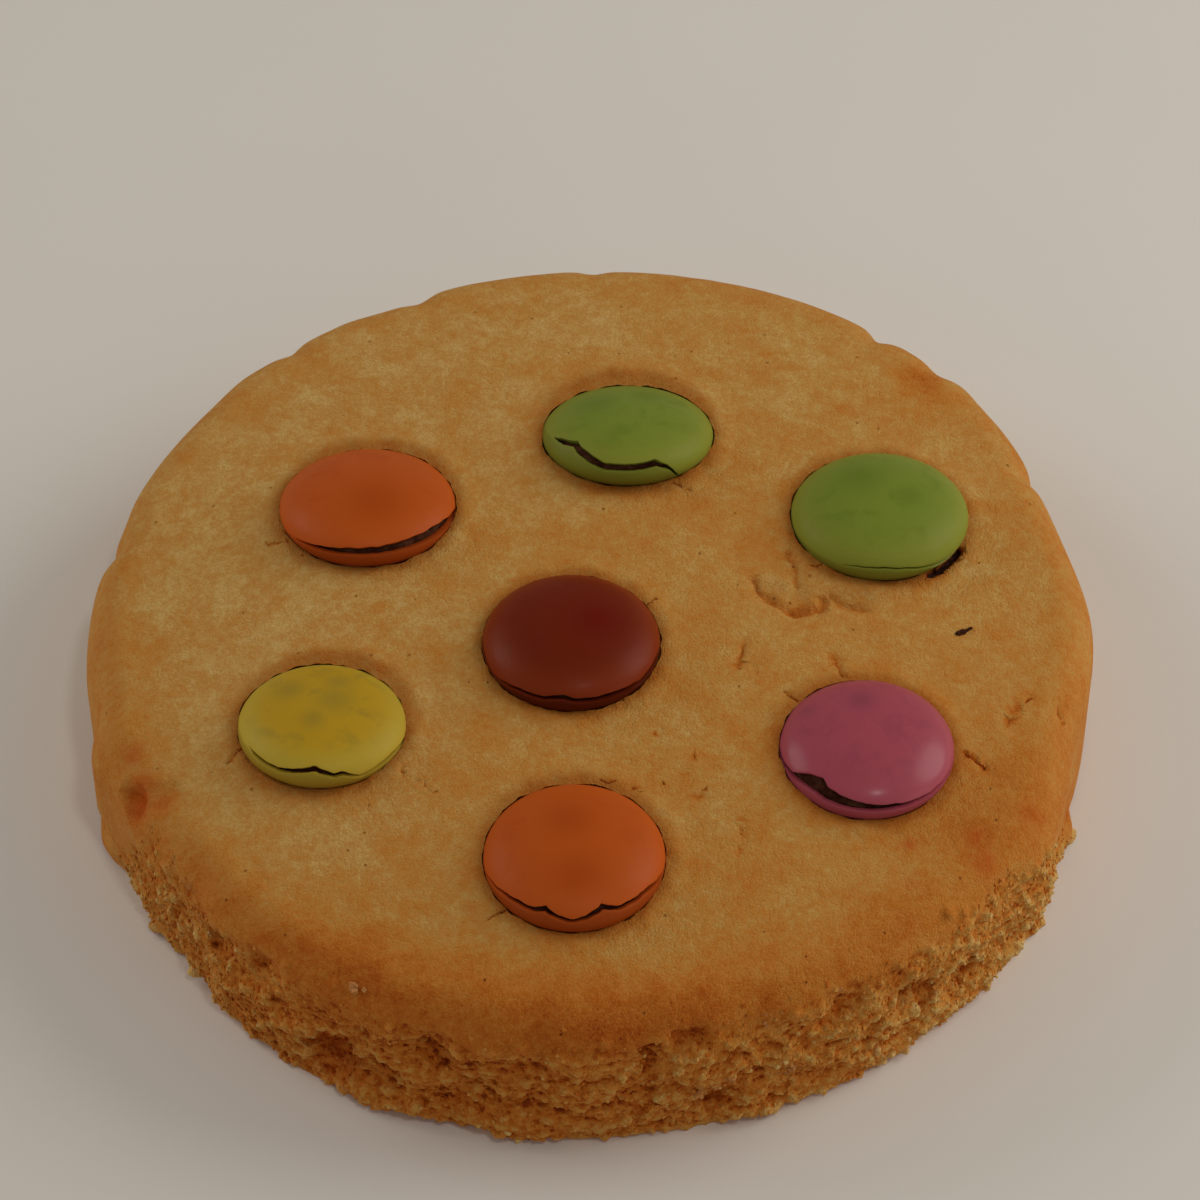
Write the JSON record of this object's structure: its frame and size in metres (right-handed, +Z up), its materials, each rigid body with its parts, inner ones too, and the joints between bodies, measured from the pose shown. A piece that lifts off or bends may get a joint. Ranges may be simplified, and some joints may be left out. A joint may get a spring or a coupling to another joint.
{
  "type": "cookie",
  "caption": "Thick round shortbread cookie with a domed, browned top, an open crumbly side and cracked, sugar-shelled chocolate buttons pressed into the top.",
  "frame": {"origin": "centre of the outline on the surface that the cookie lies on", "axes": "+Z up through the cookie's thickness, -Y towards the viewer of the picture, +X to the picture's right"},
  "size_m": [0.0806, 0.0827, 0.02],
  "materials": {
    "baked_dough": "matt baked dough, browned at the rim, sandy crumb down the side",
    "sugar_shell_orange": "satin sugar shell",
    "sugar_shell_green": "satin sugar shell",
    "sugar_shell_red": "satin sugar shell",
    "sugar_shell_yellow": "satin sugar shell, mottled",
    "sugar_shell_pink": "satin sugar shell",
    "chocolate": "dark chocolate that shows in the cracks"
  },
  "bodies": {
    "root": {"biscuit": "baked_dough", "shell_orange_left": "sugar_shell_orange", "shell_green_top": "sugar_shell_green", "shell_green_right": "sugar_shell_green", "shell_red_middle": "sugar_shell_red", "shell_yellow_left": "sugar_shell_yellow", "shell_pink_right": "sugar_shell_pink", "shell_orange_front": "sugar_shell_orange", "chocolate_orange_left": "chocolate", "chocolate_green_top": "chocolate", "chocolate_green_right": "chocolate", "chocolate_red_middle": "chocolate", "chocolate_yellow_left": "chocolate", "chocolate_pink_right": "chocolate", "chocolate_orange_front": "chocolate"}
  },
  "joints": []
}
